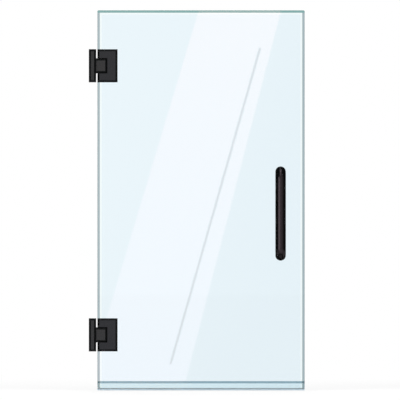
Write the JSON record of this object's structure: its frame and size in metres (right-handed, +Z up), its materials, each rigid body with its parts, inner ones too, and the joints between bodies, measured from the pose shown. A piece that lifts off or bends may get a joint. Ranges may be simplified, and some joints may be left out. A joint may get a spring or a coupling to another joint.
{
  "type": "glass shower door",
  "caption": "Frameless clear glass hinged shower door with matte black wall-mount hinges, a back-to-back round-ended pull and a clear bottom sweep.",
  "frame": {"origin": "centre of the lower hinge's wall face", "axes": "+X along the door from the hinges to the pull, +Y into the shower, +Z up"},
  "size_m": [1.037, 0.1896, 1.826],
  "materials": {
    "clear_glass": "clear polished",
    "matte_black_metal": "matte powder coat",
    "steel": "satin",
    "black_rubber": "matte",
    "black_nylon": "satin",
    "clear_vinyl": "clear gloss",
    "soft_clear_vinyl": "soft translucent"
  },
  "bodies": {
    "wall_side": {"lower_hinge_cover": "matte_black_metal", "lower_hinge_knuckle": "matte_black_metal", "lower_hinge_wall_plate": "matte_black_metal", "upper_hinge_cover": "matte_black_metal", "upper_hinge_knuckle": "matte_black_metal", "upper_hinge_wall_plate": "matte_black_metal"},
    "door": {"glass_panel": "clear_glass", "lower_hinge_back_clamp": "matte_black_metal", "lower_hinge_back_gasket": "black_rubber", "lower_hinge_front_clamp": "matte_black_metal", "lower_hinge_front_gasket": "black_rubber", "lower_hinge_pin": "steel", "lower_hinge_washers": "black_nylon", "pull_back": "matte_black_metal", "pull_back_inserts": "steel", "pull_back_washers": "black_rubber", "pull_bushings": "black_nylon", "pull_front": "matte_black_metal", "pull_front_inserts": "steel", "pull_front_washers": "black_rubber", "pull_studs": "steel", "sweep_channel": "clear_vinyl", "sweep_fins": "soft_clear_vinyl", "upper_hinge_back_clamp": "matte_black_metal", "upper_hinge_back_gasket": "black_rubber", "upper_hinge_front_clamp": "matte_black_metal", "upper_hinge_front_gasket": "black_rubber", "upper_hinge_pin": "steel", "upper_hinge_washers": "black_nylon"}
  },
  "joints": [
    {"name": "door_swing", "type": "hinge", "parent": "wall_side", "child": "door", "pos_m": [0.074, 0, 0], "axis": [0, 0, 1], "range_deg": [-90, 90]}
  ]
}
